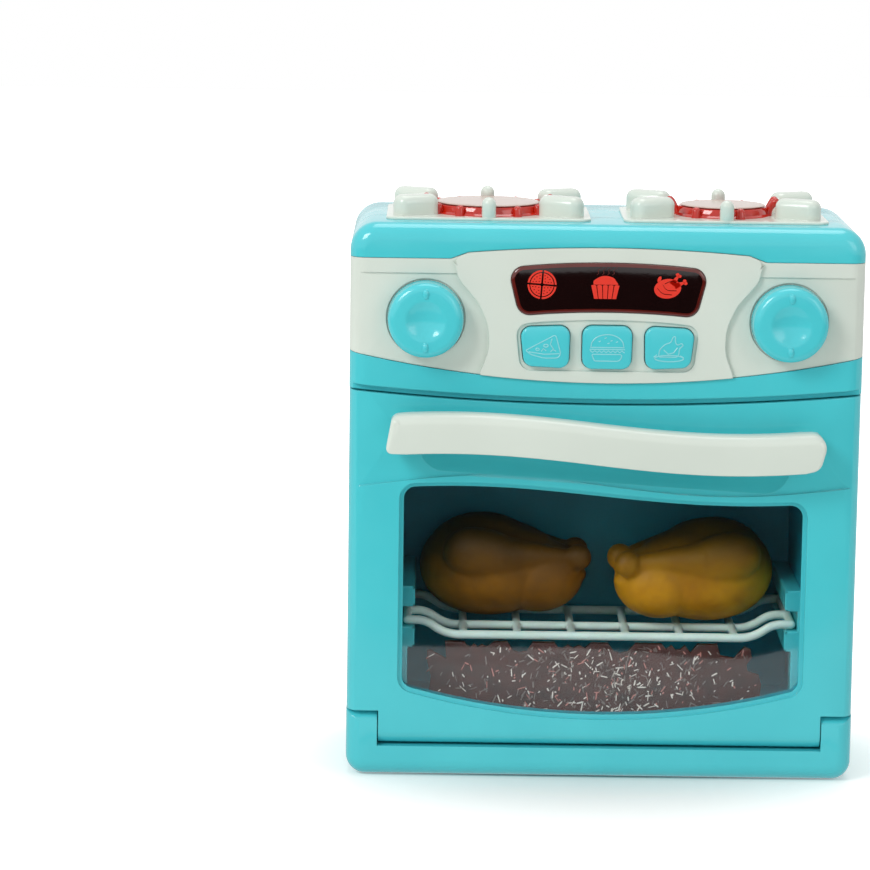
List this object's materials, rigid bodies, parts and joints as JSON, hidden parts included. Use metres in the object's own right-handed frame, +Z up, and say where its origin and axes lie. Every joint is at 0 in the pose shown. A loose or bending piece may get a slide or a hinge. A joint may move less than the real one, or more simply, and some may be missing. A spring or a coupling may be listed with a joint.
{
  "type": "toy oven",
  "caption": "Toy oven with a drop-down windowed door, waved handle, knobs, push buttons, lit display, pan-support hob, sliding wire rack, play roast chickens and a glowing coal insert.",
  "frame": {"origin": "centre of the base, on the table plane, under the middle of the bounding box", "axes": "+Z up, -Y towards the front with the door, +X to the right of someone facing the door"},
  "size_m": [0.21, 0.106, 0.24],
  "materials": {
    "cyan_shell": "moulded ABS, polished, turquoise",
    "cyan_liner": "moulded ABS, turquoise, semi-gloss",
    "cyan_button": "moulded ABS, polished, turquoise",
    "cream_trim": "moulded ABS, polished, off-white",
    "dark_lens": "tinted translucent polystyrene, dark red-brown",
    "red_print": "translucent red print",
    "red_clear": "clear red polystyrene",
    "milky_cap": "milky white polystyrene",
    "coal_clear": "dark red clear polystyrene with a crumpled texture",
    "rack_plastic": "moulded polypropylene, off-white",
    "roast_plastic": "rotomoulded vinyl, roast ochre",
    "clear_pane": "clear polystyrene window",
    "screw_steel": "nickel plated steel",
    "contact_nickel": "nickel plated spring steel",
    "board": "circuit board",
    "silicone": "silicone rubber",
    "dark_plastic": "black ABS",
    "cell_wrap": "plain foil wrap"
  },
  "bodies": {
    "oven": {"front_shell": "cyan_shell", "rear_shell": "cyan_shell", "cavity_liner": "cyan_liner", "control_panel": "cream_trim", "display_lens": "dark_lens", "display_icons": "red_print", "circuit_board": "board", "indicator_leds": "red_clear", "keypad": "silicone", "hob_plate_left": "cream_trim", "hob_plate_right": "cream_trim", "burner_ring_left": "red_clear", "burner_ring_right": "red_clear", "burner_cap_left": "milky_cap", "burner_cap_right": "milky_cap", "burner_lamps": "board", "coal_insert": "coal_clear", "fire_lamp": "board", "rack_rail_left": "cyan_button", "rack_rail_right": "cyan_button", "case_screws": "screw_steel", "panel_screws": "screw_steel", "board_screws": "screw_steel", "battery_box": "dark_plastic", "batteries": "cell_wrap", "battery_contacts": "contact_nickel", "speaker": "dark_plastic", "power_switch": "dark_plastic"},
    "door": {"door_frame": "cyan_shell", "door_inner_frame": "cyan_liner", "door_pane": "clear_pane", "door_handle": "cream_trim", "handle_screws": "screw_steel", "door_screws": "screw_steel"},
    "knob_left": {"knob_left": "cyan_button", "knob_retainer_left": "screw_steel"},
    "knob_right": {"knob_right": "cyan_button", "knob_retainer_right": "screw_steel"},
    "button_left": {"button_left": "cyan_button"},
    "button_centre": {"button_centre": "cyan_button"},
    "button_right": {"button_right": "cyan_button"},
    "rack": {"rack": "rack_plastic"},
    "chicken_left": {"chicken_left": "roast_plastic"},
    "chicken_right": {"chicken_right": "roast_plastic"},
    "battery_door": {"battery_door": "cyan_shell", "battery_screw": "screw_steel"},
    "power_slider": {"power_slider": "cream_trim"}
  },
  "joints": [
    {"name": "door_hinge", "type": "hinge", "parent": "oven", "child": "door", "pos_m": [0, -0.0305, 0.02], "axis": [1, 0, 0], "range_deg": [0, 88]},
    {"name": "knob_left_turn", "type": "hinge", "parent": "oven", "child": "knob_left", "pos_m": [-0.074, -0.037, 0.192], "axis": [0, 1, 0], "continuous": true},
    {"name": "knob_right_turn", "type": "hinge", "parent": "oven", "child": "knob_right", "pos_m": [0.074, -0.037, 0.192], "axis": [0, 1, 0], "continuous": true},
    {"name": "button_left_press", "type": "slide", "parent": "oven", "child": "button_left", "axis": [0, 1, 0], "range_m": [0, 0.0012], "stiffness_N_per_m": 600},
    {"name": "button_centre_press", "type": "slide", "parent": "oven", "child": "button_centre", "axis": [0, 1, 0], "range_m": [0, 0.0012], "stiffness_N_per_m": 600},
    {"name": "button_right_press", "type": "slide", "parent": "oven", "child": "button_right", "axis": [0, 1, 0], "range_m": [0, 0.0012], "stiffness_N_per_m": 600},
    {"name": "rack_slide", "type": "slide", "parent": "oven", "child": "rack", "axis": [0, -1, 0], "range_m": [0, 0.004]},
    {"name": "chicken_left_lift", "type": "slide", "parent": "rack", "child": "chicken_left", "axis": [0, 0, 1], "range_m": [0, 0.02]},
    {"name": "chicken_right_lift", "type": "slide", "parent": "rack", "child": "chicken_right", "axis": [0, 0, 1], "range_m": [0, 0.02]},
    {"name": "battery_door_tip", "type": "hinge", "parent": "oven", "child": "battery_door", "pos_m": [0, 0.0519, 0.1693], "axis": [-1, 0, 0], "range_deg": [0, 80]},
    {"name": "power_slide", "type": "slide", "parent": "oven", "child": "power_slider", "axis": [1, 0, 0], "range_m": [0, 0.004]}
  ]
}
